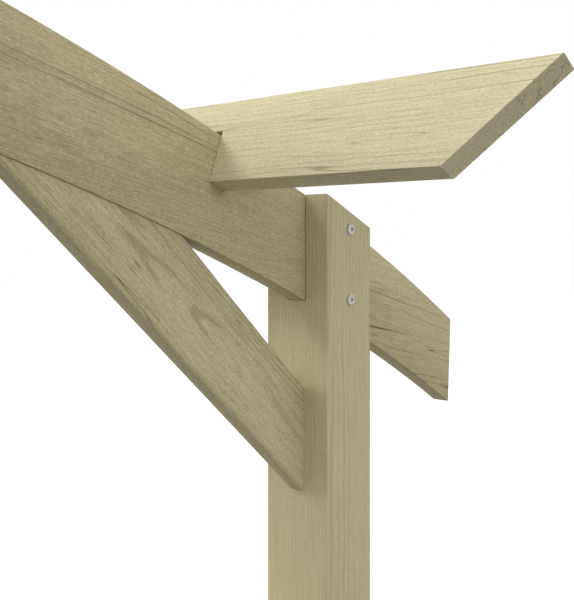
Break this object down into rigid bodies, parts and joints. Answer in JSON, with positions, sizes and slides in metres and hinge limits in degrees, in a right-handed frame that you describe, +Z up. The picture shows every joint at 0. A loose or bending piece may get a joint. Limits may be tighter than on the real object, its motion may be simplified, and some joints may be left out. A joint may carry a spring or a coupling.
{
  "type": "garden pergola with one arched beam",
  "caption": "Open timber garden pergola: square posts, a curved arch in halves slotted into the post tops, knee braces, and short notched purlins across the arch.",
  "frame": {"origin": "on the ground, in the middle of the left post's foot", "axes": "+X to the right along the arch, +Y to the back along the purlins, +Z up"},
  "size_m": [2.668, 0.564, 2.1968],
  "materials": {
    "post_timber": "planed pressure-treated softwood, pale greenish beige, matt",
    "arch_timber": "planed pressure-treated softwood, pale greenish beige, matt",
    "brace_timber": "planed pressure-treated softwood with short dark flecks, matt",
    "purlin_timber": "planed pressure-treated softwood, pale greenish beige, matt",
    "screw_zinc": "pale zinc plate, satin"
  },
  "bodies": {
    "root": {"post_left": "post_timber", "post_right": "post_timber", "arch_left": "arch_timber", "arch_right": "arch_timber", "brace_left": "brace_timber", "brace_right": "brace_timber", "purlin_1": "purlin_timber", "purlin_2": "purlin_timber", "purlin_3": "purlin_timber", "purlin_4": "purlin_timber", "purlin_5": "purlin_timber", "purlin_6": "purlin_timber", "purlin_7": "purlin_timber", "screw_left_upper": "screw_zinc", "screw_left_lower": "screw_zinc", "screw_right_upper": "screw_zinc", "screw_right_lower": "screw_zinc"}
  },
  "joints": []
}
